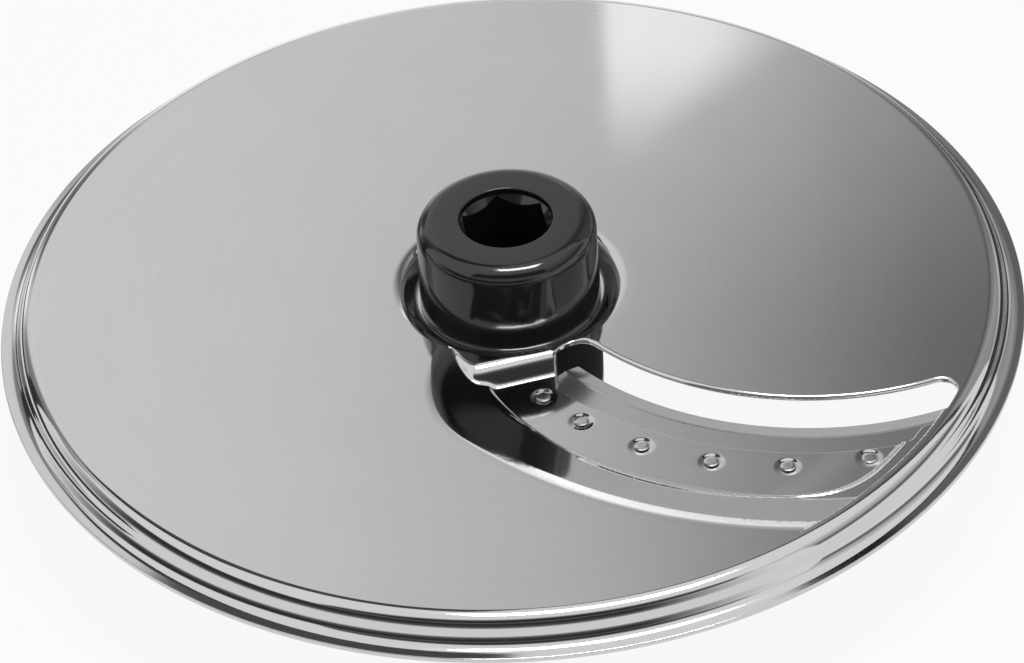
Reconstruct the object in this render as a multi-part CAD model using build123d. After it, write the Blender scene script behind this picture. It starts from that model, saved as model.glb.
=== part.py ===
"""Slicing disc of a food processor: pressed plate, riveted blade and moulded drive hub.

Millimetres, +Z up. The disc stands drive side up on the foot of its hub, with the hub's axis on Z.
The blade lies in the quarter towards +X and -Y.
"""

import math
import os

from build123d import *

# Pressed plate
DISC_DIAMETER = 174.0
SHEET = 0.9
LIP_HEIGHT = 20.0
LIP_FLAT = 2.0
RIM_RISE = 4.5
RIM_WALL_ANGLE = 78.0
RIM_CROWN_RADIUS = 2.2
RIM_FOOT_RADIUS = 1.8

# Sunk seat of the hub in the plate, with a keyed hole
SEAT_DEPTH = 3.0
SEAT_FLOOR_DIAMETER = 34.6
SEAT_WALL_ANGLE = 62.0
SEAT_CROWN_RADIUS = 2.4
SEAT_FOOT_RADIUS = 1.2
KEY_HOLE_DIAMETER = 20.0
KEY_HOLE_FLATS = 17.0

# Blade pocket: most of its arcs share the centre that the cutting edge was struck from
BLADE_CENTRE = (52.4, 17.0)
CRESCENT_RADIUS = 84.1
CRESCENT_END_RADIUS = 18.5
CRESCENT_END_ANGLE = 222.2
CRESCENT_SLOPE = 12.5
FOLD_RADIUS = 8.0
FOLD_LEAD = 1.0
LEDGE_RISE = 0.4
LEDGE_BEND = 1.5
LEDGE_RIM_GAP = 0.8
RIDGE_FROM_AXIS = 20.4
RIDGE_FOOT_FROM_AXIS = 23.4
RIDGE_FOOT_TURN = 13.9
RIDGE_LEFT = -25.0
RIDGE_RIGHT = 10.0
PLATFORM_DEPTH = 2.9
PLATFORM_CENTRE = (44.6, -1.4)
PLATFORM_RADIUS = 54.0
PLATFORM_RIM_GAP = 4.6
PLATFORM_CORNER = 2.0
PLATFORM_WALL_ANGLE = 62.0

# Slicing slot
LEAD_RADIUS = 52.1
TRAIL_RADIUS = 62.2
SLOT_INNER_X = 6.7
SLOT_INNER_ROUND = 4.0
SLOT_OUTER_ROUND = 2.5
SLOT_RIM_GAP = 0.3
SLOT_NOTCH_RADIUS = 59.3
SLOT_NOTCH_WIDTH = 3.3

# Ground blade under the platform
BLADE_THICKNESS = 0.7
EDGE_RADIUS = 54.7
EDGE_LAND = 0.08
BEVEL_WIDTH = 2.9
BLADE_WIDTH = 15.3
BLADE_TIP = (10.5, -18.3)
BLADE_TIP_TURN = 39.0
BLADE_RIM_GAP = 1.4

# Rivets along an arc of the platform, each in a coined dish
RIVET_CENTRE = (46.9, 5.3)
RIVET_ARC_RADIUS = 53.5
RIVET_ANGLES = (217.3, 226.9, 239.6, 252.6, 266.0, 280.3)
RIVET_SHANK = 1.8
RIVET_BUTTON = 2.6
RIVET_BUTTON_HEIGHT = 0.6
RIVET_BUTTON_EDGE = 0.2
RIVET_SINK = 3.0
DISH_DIAMETER = 3.8
DISH_DEPTH = 0.35

# Moulded hub with a six-sided drive socket
HUB_DIAMETER = 30.8
HUB_TOP_DIAMETER = 30.3
HUB_HEIGHT = 39.2
HUB_TOP_ROUND = 3.0
BOSS_DIAMETER = 30.6
BOSS_FOOT_ROUND = 4.0
SOCKET_FLATS = 13.6
SOCKET_DEPTH = 30.0
SOCKET_TURN = 40.0
SOCKET_LEAD_IN = 1.1
SOCKET_LEAD_DEPTH = 1.5
SOCKET_MOUTH_DEPTH = 1.2

# Levels and radii that follow from the sizes above
DISC_RADIUS = DISC_DIAMETER / 2
LIP_TOP = LIP_HEIGHT + SHEET
PLATE_TOP = LIP_TOP + RIM_RISE
SEAT_TOP = PLATE_TOP - SEAT_DEPTH
SEAT_UNDER = SEAT_TOP - SHEET
PLATFORM_TOP = PLATE_TOP - PLATFORM_DEPTH
LEDGE_TOP = PLATFORM_TOP + LEDGE_RISE
BLADE_TOP = PLATFORM_TOP - SHEET
BLADE_UNDER = BLADE_TOP - BLADE_THICKNESS
BELOW = LIP_HEIGHT - 10 * SHEET
ABOVE = PLATE_TOP + 10 * SHEET
RIM_TANGENT = math.tan(math.radians(RIM_WALL_ANGLE / 2))
RIM_FOOT = DISC_RADIUS - LIP_FLAT - RIM_FOOT_RADIUS * RIM_TANGENT
RIM_CROWN = RIM_FOOT - RIM_RISE / math.tan(math.radians(RIM_WALL_ANGLE))
PLATE_FLAT_RADIUS = RIM_CROWN - RIM_CROWN_RADIUS * RIM_TANGENT
SLOT_END = PLATE_FLAT_RADIUS - SLOT_RIM_GAP
SEAT_TANGENT = math.tan(math.radians(SEAT_WALL_ANGLE / 2))
SEAT_FLOOR = SEAT_FLOOR_DIAMETER / 2
SEAT_CROWN = SEAT_FLOOR + SEAT_DEPTH / math.tan(math.radians(SEAT_WALL_ANGLE))
CRESCENT_DROP = PLATE_TOP - LEDGE_TOP
CRESCENT_TANGENT = math.tan(math.radians(CRESCENT_SLOPE))
FOLD_TANGENT = math.tan(math.radians(FOLD_LEAD))
REACH = 2 * DISC_DIAMETER


def disc_at(centre, radius):
    """Flat round face about a plan point."""
    return Pos(centre[0], centre[1]) * Circle(radius)


def half_plane(point, turn):
    """Large flat face on the right of a line through a plan point, seen along its turn from +X."""
    return Pos(point[0], point[1]) * Rot(0, 0, turn) * Pos(0, -REACH / 2) * Rectangle(REACH, REACH)


def slab(face, low, high):
    """Straight prism over a plan face between two heights."""
    return Pos(0, 0, low) * extrude(face, high - low)


def rounded(face, centre, radius, towards):
    """Face with one corner replaced by a round, which touches both sides in the two given directions."""
    reach = Vector(*towards[0]).normalized() * DISC_RADIUS
    side = Vector(*towards[1]).normalized() * DISC_RADIUS
    middle = Vector(*centre)
    corner = Polyline(middle, middle + reach, middle + reach + side, middle + side, close=True)
    return face - make_face(corner) + disc_at(centre, radius)


def meeting(from_lead, from_axis):
    """Plan point on the blade's side at two distances: from the blade's centre and from the axis."""
    apart = math.hypot(BLADE_CENTRE[0], BLADE_CENTRE[1])
    along = (from_axis**2 - from_lead**2 + apart**2) / (2 * apart)
    off = math.sqrt(from_axis**2 - along**2)
    unit = (BLADE_CENTRE[0] / apart, BLADE_CENTRE[1] / apart)
    return (along * unit[0] + off * unit[1], along * unit[1] - off * unit[0])


def skin_form(depth):
    """Everything under the turned skin of the plate, which lies `depth` below its upper skin."""
    rim_shift = depth * RIM_TANGENT
    seat_shift = depth * SEAT_TANGENT
    skin = FilletPolyline(
        (0, SEAT_TOP - depth),
        (SEAT_FLOOR + seat_shift, SEAT_TOP - depth),
        (SEAT_CROWN + seat_shift, PLATE_TOP - depth),
        (RIM_CROWN - rim_shift, PLATE_TOP - depth),
        (RIM_FOOT - rim_shift, LIP_TOP - depth),
        (DISC_RADIUS, LIP_TOP - depth),
        radius=[
            SEAT_FOOT_RADIUS + depth,
            SEAT_CROWN_RADIUS - depth,
            RIM_CROWN_RADIUS - depth,
            RIM_FOOT_RADIUS + depth,
        ],
    )
    base = Polyline((DISC_RADIUS, LIP_TOP - depth), (DISC_RADIUS, BELOW), (0, BELOW), (0, SEAT_TOP - depth))
    return revolve(Plane.XZ * make_face(skin.edges() + base.edges()), Axis.Z)


def crescent_end_centre():
    """Centre of the small arc that rounds the crescent's inner end, tangent inside the large one."""
    reach = CRESCENT_RADIUS - CRESCENT_END_RADIUS
    turn = math.radians(CRESCENT_END_ANGLE)
    return (BLADE_CENTRE[0] + reach * math.cos(turn), BLADE_CENTRE[1] + reach * math.sin(turn))


def ramp(centre, radius, depth):
    """Space above a cone that falls from the plate at `radius` towards its centre, with a soft fold."""
    run = CRESCENT_DROP / CRESCENT_TANGENT
    far = REACH / 2
    section = FilletPolyline(
        (0, LEDGE_TOP - depth),
        (radius - run, LEDGE_TOP - depth),
        (radius, PLATE_TOP - depth),
        (radius + far, PLATE_TOP - depth + far * FOLD_TANGENT),
        radius=[LEDGE_BEND + depth, FOLD_RADIUS - depth],
    )
    top = Polyline(
        (radius + far, PLATE_TOP - depth + far * FOLD_TANGENT),
        (radius + far, ABOVE),
        (0, ABOVE),
        (0, LEDGE_TOP - depth),
    )
    face = make_face(section.edges() + top.edges())
    return Pos(centre[0], centre[1]) * revolve(Plane.XZ * face, Axis.Z)


def ridge_end(across, depth):
    """Section of the ridge at one distance from the axis plane, behind its sloped front."""
    run = RIDGE_FOOT_FROM_AXIS - RIDGE_FROM_AXIS - across * math.tan(math.radians(RIDGE_FOOT_TURN))
    slope = math.atan2(PLATFORM_DEPTH, run)
    front = depth / math.sin(slope) - RIDGE_FROM_AXIS
    points = []
    for level in (LIP_HEIGHT, PLATE_TOP + RIM_RISE):
        points.append((across, front + (level - PLATE_TOP) / math.tan(slope), level))
    points.append((across, DISC_RADIUS, PLATE_TOP + RIM_RISE))
    points.append((across, DISC_RADIUS, LIP_HEIGHT))
    return make_face(Polyline(*points, close=True))


def ridge(depth):
    """Ridge between hub seat and blade pocket, steep at the slot and easing off to the left."""
    return loft([ridge_end(RIDGE_LEFT, depth), ridge_end(RIDGE_RIGHT, depth)], ruled=True)


def crescent_cut(depth):
    """Sloped crescent over the skin that lies `depth` below the upper one."""
    shift = depth * math.tan(math.radians(CRESCENT_SLOPE / 2))
    wide = slab(half_plane(BLADE_CENTRE, CRESCENT_END_ANGLE + 180), BELOW, ABOVE)
    large = ramp(BLADE_CENTRE, CRESCENT_RADIUS + shift, depth) & wide
    small = ramp(crescent_end_centre(), CRESCENT_END_RADIUS + shift, depth) - wide
    bounds = Circle(PLATE_FLAT_RADIUS - LEDGE_RIM_GAP + depth)
    bounds = bounds & half_plane((0, 0), 0)
    bounds = bounds - disc_at(BLADE_CENTRE, SLOT_NOTCH_RADIUS - SHEET)
    return (large + small) & slab(bounds, BELOW, ABOVE)


def platform_face(grow):
    """Plan of the platform, grown on its walled sides."""
    face = disc_at(PLATFORM_CENTRE, PLATFORM_RADIUS + grow)
    face = face & Circle(PLATE_FLAT_RADIUS - PLATFORM_RIM_GAP + grow)
    face = face & half_plane((0, 0), 0)
    face = face - disc_at(BLADE_CENTRE, SLOT_NOTCH_RADIUS)
    rear = face.vertices().sort_by(Axis.Y)[0]
    return fillet(rear, PLATFORM_CORNER + grow)


def platform_cut(depth):
    """Walled recess over the blade platform in the skin that lies `depth` below the upper one."""
    shift = depth * math.tan(math.radians(PLATFORM_WALL_ANGLE / 2))
    flare = PLATFORM_DEPTH / math.tan(math.radians(PLATFORM_WALL_ANGLE))
    floor = Pos(0, 0, PLATFORM_TOP - depth) * platform_face(shift)
    mouth = Pos(0, 0, PLATE_TOP - depth) * platform_face(shift + flare)
    return loft([floor, mouth], ruled=True)


def pressed_form(depth):
    """Everything under one skin of the pressed plate."""
    pocket = crescent_cut(depth) + platform_cut(depth)
    return skin_form(depth) - (pocket - ridge(depth))


def slot_face():
    """Plan of the slicing slot: leading edge, trailing edge and the rounded ends between them."""
    ring = disc_at(BLADE_CENTRE, TRAIL_RADIUS) - disc_at(BLADE_CENTRE, LEAD_RADIUS)
    ring = ring & half_plane(BLADE_CENTRE, 0)
    throat = ring & disc_at(BLADE_CENTRE, SLOT_NOTCH_RADIUS) & Circle(SLOT_END)
    face = throat + (ring & Circle(PLATE_FLAT_RADIUS - SLOT_NOTCH_WIDTH))
    face = face & half_plane((SLOT_INNER_X, 0), 90)
    across = SLOT_INNER_X + SLOT_INNER_ROUND
    away = math.sqrt((LEAD_RADIUS + SLOT_INNER_ROUND) ** 2 - (BLADE_CENTRE[0] - across) ** 2)
    inner = (across, BLADE_CENTRE[1] - away)
    lead = (BLADE_CENTRE[0] - inner[0], BLADE_CENTRE[1] - inner[1])
    face = rounded(face, inner, SLOT_INNER_ROUND, (lead, (-1, 0)))
    outer = meeting(LEAD_RADIUS + SLOT_OUTER_ROUND, SLOT_END - SLOT_OUTER_ROUND)
    lead = (BLADE_CENTRE[0] - outer[0], BLADE_CENTRE[1] - outer[1])
    return rounded(face, outer, SLOT_OUTER_ROUND, (lead, outer))


def rivet_places():
    """Plan points of the rivets."""
    places = []
    for angle in RIVET_ANGLES:
        turn = math.radians(angle)
        across = RIVET_CENTRE[0] + RIVET_ARC_RADIUS * math.cos(turn)
        along = RIVET_CENTRE[1] + RIVET_ARC_RADIUS * math.sin(turn)
        places.append((across, along))
    return places


def key_face():
    """Keyed hole that turns the plate with the hub."""
    return Circle(KEY_HOLE_DIAMETER / 2) & Rectangle(KEY_HOLE_DIAMETER, KEY_HOLE_FLATS)


def build_plate():
    """Pressed plate with its slot, keyed hole and coined rivet dishes."""
    plate = pressed_form(0) - pressed_form(SHEET)
    plate = plate - slab(slot_face(), BELOW, ABOVE)
    plate = plate - slab(key_face(), BELOW, ABOVE)
    for place in rivet_places():
        plate = plate - slab(disc_at(place, DISH_DIAMETER / 2), PLATFORM_TOP - DISH_DEPTH, ABOVE)
        plate = plate - slab(disc_at(place, RIVET_SHANK / 2), BELOW, ABOVE)
    return plate


def rivet_tail():
    """Shank and flush countersunk tail of one rivet, from the blade's underside to the dish."""
    section = Polyline(
        (0, BLADE_UNDER),
        (RIVET_SINK / 2, BLADE_UNDER),
        (RIVET_SHANK / 2, BLADE_UNDER + (RIVET_SINK - RIVET_SHANK) / 2),
        (RIVET_SHANK / 2, PLATFORM_TOP - DISH_DEPTH),
        (0, PLATFORM_TOP - DISH_DEPTH),
        close=True,
    )
    return revolve(Plane.XZ * make_face(section), Axis.Z)


def build_blade():
    """Curved blade under the platform, ground to its edge on the upper side."""
    rear = EDGE_RADIUS + BLADE_WIDTH
    section = Polyline(
        (EDGE_RADIUS, BLADE_UNDER),
        (rear, BLADE_UNDER),
        (rear, BLADE_TOP),
        (EDGE_RADIUS + BEVEL_WIDTH, BLADE_TOP),
        (EDGE_RADIUS, BLADE_UNDER + EDGE_LAND),
        close=True,
    )
    ring = Pos(BLADE_CENTRE[0], BLADE_CENTRE[1]) * revolve(Plane.XZ * make_face(section), Axis.Z)
    bounds = Circle(PLATE_FLAT_RADIUS - BLADE_RIM_GAP)
    bounds = bounds & half_plane(BLADE_CENTRE, 0)
    bounds = bounds & half_plane(BLADE_TIP, BLADE_TIP_TURN)
    blade = ring & slab(bounds, BELOW, ABOVE)
    for place in rivet_places():
        blade = blade - Pos(place[0], place[1]) * rivet_tail()
    return blade


def build_rivet():
    """One rivet: countersunk tail, shank and low domed button."""
    floor = PLATFORM_TOP - DISH_DEPTH
    crown = RIVET_BUTTON_HEIGHT - RIVET_BUTTON_EDGE
    radius = ((RIVET_BUTTON / 2) ** 2 + crown**2) / (2 * crown)
    dome = Pos(0, 0, floor + RIVET_BUTTON_HEIGHT - radius) * Sphere(radius)
    button = dome & slab(Circle(RIVET_BUTTON / 2), floor, floor + RIVET_BUTTON_HEIGHT + RIVET_BUTTON)
    return rivet_tail() + button


def build_rivets():
    """All rivets as separate solids of one group."""
    rivet = build_rivet()
    return Compound(children=[Pos(place[0], place[1]) * rivet for place in rivet_places()])


def build_hub():
    """Hub moulded through the keyed hole, with its boss below and its socket from above."""
    outer = FilletPolyline(
        (0, 0),
        (BOSS_DIAMETER / 2, 0),
        (BOSS_DIAMETER / 2, SEAT_UNDER),
        (0, SEAT_UNDER),
        radius=[BOSS_FOOT_ROUND, 0],
    )
    axis_low = Line((0, SEAT_UNDER), (0, 0))
    boss = revolve(Plane.XZ * make_face(outer.edges() + axis_low.edges()), Axis.Z)
    upper = FilletPolyline(
        (0, SEAT_TOP),
        (HUB_DIAMETER / 2, SEAT_TOP),
        (HUB_TOP_DIAMETER / 2, HUB_HEIGHT),
        (0, HUB_HEIGHT),
        radius=[0, HUB_TOP_ROUND],
    )
    axis_high = Line((0, HUB_HEIGHT), (0, SEAT_TOP))
    body = revolve(Plane.XZ * make_face(upper.edges() + axis_high.edges()), Axis.Z)
    hub = boss + slab(key_face(), SEAT_UNDER, SEAT_TOP) + body
    six = Rot(0, 0, SOCKET_TURN) * RegularPolygon(SOCKET_FLATS / 2, 6, major_radius=False)
    hub = hub - slab(six, HUB_HEIGHT - SOCKET_DEPTH, HUB_HEIGHT)
    mouth = SOCKET_FLATS / 2 + SOCKET_LEAD_IN
    shoulder = HUB_HEIGHT - SOCKET_MOUTH_DEPTH
    hub = hub - slab(Circle(mouth), shoulder, HUB_HEIGHT)
    lead_in = Cone(SOCKET_FLATS / 2, mouth, SOCKET_LEAD_DEPTH)
    return hub - Pos(0, 0, shoulder - SOCKET_LEAD_DEPTH / 2) * lead_in


os.makedirs("parts", exist_ok=True)
export_step(build_plate(), "parts/disc_plate.step")
export_step(build_blade(), "parts/slicing_blade.step")
export_step(build_rivets(), "parts/blade_rivets.step")
export_step(build_hub(), "parts/drive_hub.step")
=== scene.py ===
"""Slicing disc of a food processor: smooth visual pieces, finishes and a plain studio.

The main sizes are the solid part's. Its rim bends, hub seat, rivet buttons and crescent are drawn a little softer
here, as the steel's reflections show them. Lengths are metres, and heights are above the hub's foot.
"""

import math

import bpy
import numpy as np
from mathutils import Matrix, Vector
from mathutils.geometry import delaunay_2d_cdt


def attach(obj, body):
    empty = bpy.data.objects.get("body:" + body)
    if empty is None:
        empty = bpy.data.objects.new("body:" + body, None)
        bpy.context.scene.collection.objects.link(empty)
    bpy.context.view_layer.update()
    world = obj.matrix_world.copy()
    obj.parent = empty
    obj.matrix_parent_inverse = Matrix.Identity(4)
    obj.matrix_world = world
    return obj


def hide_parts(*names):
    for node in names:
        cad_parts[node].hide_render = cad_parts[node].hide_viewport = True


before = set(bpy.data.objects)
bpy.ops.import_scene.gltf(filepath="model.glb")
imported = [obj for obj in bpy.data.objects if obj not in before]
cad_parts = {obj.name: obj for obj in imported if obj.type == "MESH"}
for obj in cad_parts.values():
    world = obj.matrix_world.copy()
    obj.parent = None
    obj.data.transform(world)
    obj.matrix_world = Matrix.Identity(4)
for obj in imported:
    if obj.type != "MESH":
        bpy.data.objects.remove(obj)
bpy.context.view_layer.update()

bl_info = {
    "name": "Slicing disc",
    "version": (1, 0, 0),
    "blender": (4, 5, 0),
    "location": "3D View > Sidebar > Slicing disc",
    "description": "Builds a food processor's slicing disc with its blade, rivets, hub and studio",
    "category": "Object",
}

MM = 0.001
BODY = "root"
PHOTO_WIDTH = 1024


# Sizes and colours


def length(name, millimetres, description):
    """Length property, written in millimetres and held in metres."""
    return bpy.props.FloatProperty(
        name=name, description=description, default=millimetres * MM, unit="LENGTH", precision=5
    )


def turn(name, degrees, description):
    """Angle property, written in degrees and held in radians."""
    return bpy.props.FloatProperty(
        name=name, description=description, default=math.radians(degrees), subtype="ANGLE"
    )


def colour(name, code, description):
    """Colour property as an sRGB hex code."""
    return bpy.props.StringProperty(name=name, description=description, default=code)


class DiscPlateSizes(bpy.types.PropertyGroup):
    """Pressed plate: stepped rim, sunk hub seat and keyed hole."""

    diameter: length("Diameter", 174.0, "Outside diameter of the lip")
    sheet: length("Sheet", 0.9, "Thickness of the steel sheet")
    lip_height: length("Lip height", 20.0, "Underside of the lip above the hub's foot")
    lip_flat: length("Lip flat", 0.8, "Width of the straight part of the lip")
    lip_fall: turn("Lip fall", 7.0, "Fall of the lip towards its edge")
    rim_rise: length("Rim rise", 4.5, "Step from the lip up to the plate")
    rim_wall: turn("Rim wall", 75.0, "Steepness of the rim's wall")
    rim_crown: length("Rim crown", 2.9, "Bend radius at the top of the rim")
    rim_foot: length("Rim foot", 2.7, "Bend radius at the foot of the rim")
    seat_depth: length("Seat depth", 3.0, "Sink of the hub seat below the plate")
    seat_floor: length("Seat floor", 32.4, "Diameter of the hub seat's floor")
    seat_wall: turn("Seat wall", 50.0, "Steepness of the hub seat's wall")
    seat_crown: length("Seat crown", 3.0, "Bend radius at the top of the hub seat")
    seat_foot: length("Seat foot", 1.2, "Bend radius at the foot of the hub seat")
    key_diameter: length("Key hole", 20.0, "Diameter of the keyed centre hole")
    key_flats: length("Key flats", 17.0, "Width across the keyed hole's flats")
    arris: length("Cut edge round", 0.14, "Round of the lip's edge")
    roll: length("Slot edge round", 0.25, "Rolled round of the punched edges")
    lead_roll: length("Leading edge round", 0.7, "Rolled round of the slot's leading edge")


class PocketSizes(bpy.types.PropertyGroup):
    """Blade pocket: sloped crescent, ledge, platform and slot."""

    blade_x: length("Blade centre X", 52.4, "Centre that the cutting edge is struck from")
    blade_y: length("Blade centre Y", 17.0, "Centre that the cutting edge is struck from")
    crescent: length("Crescent radius", 84.1, "Outer arc of the crescent about the blade centre")
    crescent_end: length("Crescent end", 18.5, "Arc that rounds the crescent's inner end")
    crescent_turn: turn("Crescent end turn", 222.2, "Direction of the inner end from the blade centre")
    crescent_slope: turn("Crescent slope", 14.9, "Fall of the crescent towards the blade")
    border_slope: turn("Border slope", 12.0, "Fall of the crescent's border strip")
    border: length("Border", 2.6, "Width of the crescent's border strip")
    bead: length("Bead", 0.2, "Height of the pressed bead along the platform's border")
    bead_width: length("Bead width", 1.1, "Width of the pressed bead")
    bead_start: length("Bead start", 9.0, "Where the bead begins along X")
    fold: length("Fold", 8.0, "Bend radius at the crescent's outer edge")
    ledge_rise: length("Ledge rise", 0.4, "Ledge along the rim above the platform")
    ledge_reach: length("Ledge reach", 7.0, "Distance over which the ledge rises towards the rim")
    ledge_bend: length("Ledge bend", 1.5, "Bend radius between the crescent and its ledge")
    ledge_rim_gap: length("Ledge to rim", 0.8, "Flat crest between the ledge and the rim")
    ridge: length("Ridge", 20.4, "Distance of the ridge's front line from the axis")
    ridge_turn: turn("Ridge turn", 13.9, "Slant of the ridge's front line")
    ridge_run: length("Ridge run", 2.75, "Width of the ridge's sloped front")
    platform_depth: length("Platform depth", 2.9, "Sink of the platform below the plate")
    platform_x: length("Platform centre X", 44.6, "Centre of the platform's rear arc")
    platform_y: length("Platform centre Y", -1.4, "Centre of the platform's rear arc")
    platform: length("Platform radius", 54.0, "Rear arc of the platform")
    platform_rim_gap: length("Platform to rim", 4.6, "Platform's end to the flat plate's edge")
    platform_corner: length("Platform corner", 2.0, "Round between the platform's rear and outer end")
    platform_tip: length("Platform tip", 2.4, "Height over which the platform's tip is rounded")
    platform_brow: length("Platform brow", 0.7, "Height of the rolled edge between crescent and platform")
    wall_foot: length("Wall foot", 0.4, "Height of the bend at the foot of the platform's wall")
    wall: turn("Pocket wall", 62.0, "Steepness of the pocket's walls")
    nose: length("Ridge nose", 6.0, "Where the ridge's crest begins to turn back, left of the axis")
    nose_bend: length("Nose bend", 3.0, "How slowly the ridge's crest turns back")
    ridge_brow: length("Ridge brow", 1.2, "Height of the rolled edge of the ridge")
    floor_bend: length("Floor bend", 0.4, "Height of the bends along the pocket's floor")
    rim_wall: turn("Rim side", 74.0, "Steepness of the pocket's side at the rim")
    rim_brow: length("Rim brow", 0.8, "Height of the rolled edge at the rim")
    lead: length("Leading edge", 52.1, "Radius of the plate's leading edge about the blade centre")
    trail: length("Trailing edge", 62.2, "Radius of the platform's front edge about the blade centre")
    slot_inner: length("Slot inner end", 6.7, "Inner end of the slot along X")
    slot_inner_round: length("Inner round", 4.0, "Round of the slot's inner end")
    slot_outer_round: length("Outer round", 2.5, "Round of the slot's outer end")
    slot_rim_gap: length("Slot to rim", 0.3, "Slot's outer end to the flat plate's edge")
    notch: length("Tongue end", 59.3, "End of the ledge's tongue about the blade centre")
    notch_width: length("Tongue width", 3.3, "Tongue's inner edge to the flat plate's edge")


class BladeSizes(bpy.types.PropertyGroup):
    """Ground blade and its rivets."""

    thickness: length("Thickness", 0.7, "Thickness of the blade")
    edge: length("Edge radius", 54.7, "Radius of the cutting edge")
    land: length("Edge land", 0.08, "Height left at the cutting edge")
    bevel: length("Bevel", 2.9, "Width of the ground bevel")
    burr: length("Burr", 0.055, "Height of the burr that the grinding left along the bevel")
    burr_width: length("Burr width", 0.4, "Width of the burr")
    width: length("Width", 15.3, "Width of the blade")
    tip_x: length("Tip X", 10.5, "Inner tip of the blade")
    tip_y: length("Tip Y", -18.3, "Inner tip of the blade")
    tip_turn: turn("Tip turn", 39.0, "Slant of the blade's inner end")
    rim_gap: length("Blade to rim", 1.4, "Blade's outer end to the flat plate's edge")
    rivet_x: length("Rivet arc X", 46.9, "Centre of the rivets' arc")
    rivet_y: length("Rivet arc Y", 5.3, "Centre of the rivets' arc")
    rivet_arc: length("Rivet arc", 53.5, "Radius of the rivets' arc")
    shank: length("Shank", 1.8, "Diameter of a rivet's shank")
    button: length("Button", 2.4, "Diameter of a rivet's button")
    button_height: length("Button height", 0.19, "Height of a rivet's button")
    button_edge: length("Button edge", 0.1, "Straight edge of a rivet's button")
    sink: length("Tail", 3.0, "Diameter of a rivet's countersunk tail")
    dish: length("Dish", 2.4, "Radius at which the coined dish round a rivet fades out")
    dish_depth: length("Dish depth", 0.15, "Depth of the coined dish")


class HubSizes(bpy.types.PropertyGroup):
    """Moulded hub with its six-sided socket."""

    diameter: length("Diameter", 30.8, "Diameter of the hub on the plate")
    top_diameter: length("Top diameter", 30.3, "Diameter of the hub at its top")
    height: length("Height", 39.2, "Height of the hub's top above its foot")
    top_round: length("Top round", 3.0, "Round of the hub's top edge")
    boss: length("Boss", 30.6, "Diameter of the boss under the plate")
    boss_round: length("Boss round", 4.0, "Round of the boss's foot")
    neck: length("Neck", 16.0, "Diameter of the hidden neck through the plate")
    flats: length("Socket", 13.6, "Width across the socket's flats")
    depth: length("Socket depth", 30.0, "Depth of the socket")
    socket_turn: turn("Socket turn", 10.0, "Direction of one of the socket's flats")
    lead_in: length("Lead-in", 1.1, "Width of the socket's conical lead-in")
    lead_depth: length("Lead-in depth", 1.2, "Depth of the socket's conical lead-in")
    mouth_depth: length("Mouth depth", 1.2, "Depth of the socket's round mouth")
    mouth_round: length("Mouth round", 0.25, "Round of the socket's rim")


class FinishColours(bpy.types.PropertyGroup):
    """Colours of the finishes."""

    plate: colour("Plate steel", "#CBCCCB", "Satin stainless sheet")
    blade: colour("Blade steel", "#C6C7C7", "Ground blade steel")
    rivet: colour("Rivet steel", "#CFCFCE", "Bright rivet steel")
    hub: colour("Hub plastic", "#1D1D1D", "Black moulded plastic")
    floor: colour("Floor", "#FBFBFB", "Pale studio floor")


SIZE_GROUPS = {
    "disc_plate_sizes": DiscPlateSizes,
    "pocket_sizes": PocketSizes,
    "blade_sizes": BladeSizes,
    "hub_sizes": HubSizes,
    "finish_colours": FinishColours,
}
RIVET_TURNS = (217.3, 226.9, 239.6, 252.6, 266.0, 280.3)

# Reflection cards, in metres. A stop is a position with its brightness, where 1 is white.
BACK_CARD_Y = 0.26
BACK_CARD = ((-0.42, 0.0), (0.6, 0.0), (0.6, 0.5), (0.0, 0.5), (-0.06, 0.9), (-0.42, 0.9))
# Across the back card, low and high on it, and a dark strip across its foot
CARD_LOW = (
    (-0.42, 0.3), (-0.33, 0.3), (-0.305, 0.6), (-0.28, 0.95), (-0.14, 0.92), (-0.12, 0.925),
    (-0.07, 0.885), (-0.03, 0.84), (0.0, 0.8), (0.03, 0.745), (0.05, 0.7), (0.07, 0.6), (0.08, 0.55),
    (0.11, 0.4), (0.15, 0.2), (0.19, 0.15), (0.23, 0.36), (0.27, 0.27), (0.3, 0.5), (0.42, 0.4),
)
CARD_HIGH = (
    (-0.42, 0.3), (-0.33, 0.3), (-0.305, 0.6), (-0.28, 0.95), (-0.14, 0.92), (-0.12, 0.915),
    (-0.08, 0.885), (-0.05, 0.835), (-0.03, 0.77), (0.0, 0.705), (0.02, 0.632), (0.035, 0.547),
    (0.052, 0.45), (0.065, 0.385), (0.08, 0.318), (0.1, 0.22), (0.15, 0.15), (0.19, 0.15),
    (0.23, 0.36), (0.27, 0.27), (0.3, 0.5), (0.42, 0.4),
)
CARD_STRIP = ((-0.3, 1.0), (-0.24, 1.0), (-0.21, 0.15), (-0.14, 0.15), (-0.11, 1.0), (0.0, 1.0))
# Up the back card: its level, a light band and the window's corner
CARD_RISE = (
    (0.0, 1.5), (0.07, 1.5), (0.085, 0.85), (0.13, 0.85), (0.15, 1.0), (0.42, 1.0), (0.44, 0.1), (0.9, 0.1),
)
CARD_BAND = ((0.1, 0.0), (0.126, 0.0), (0.13, 0.6), (0.145, 0.6), (0.15, 0.0), (0.2, 0.0))
PATCH_RISE = (
    (0.1, 0.0), (0.128, 0.0), (0.146, 1.0), (0.172, 1.0), (0.182, 0.8), (0.2, 0.15), (0.207, 0.0), (0.25, 0.0),
)
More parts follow.
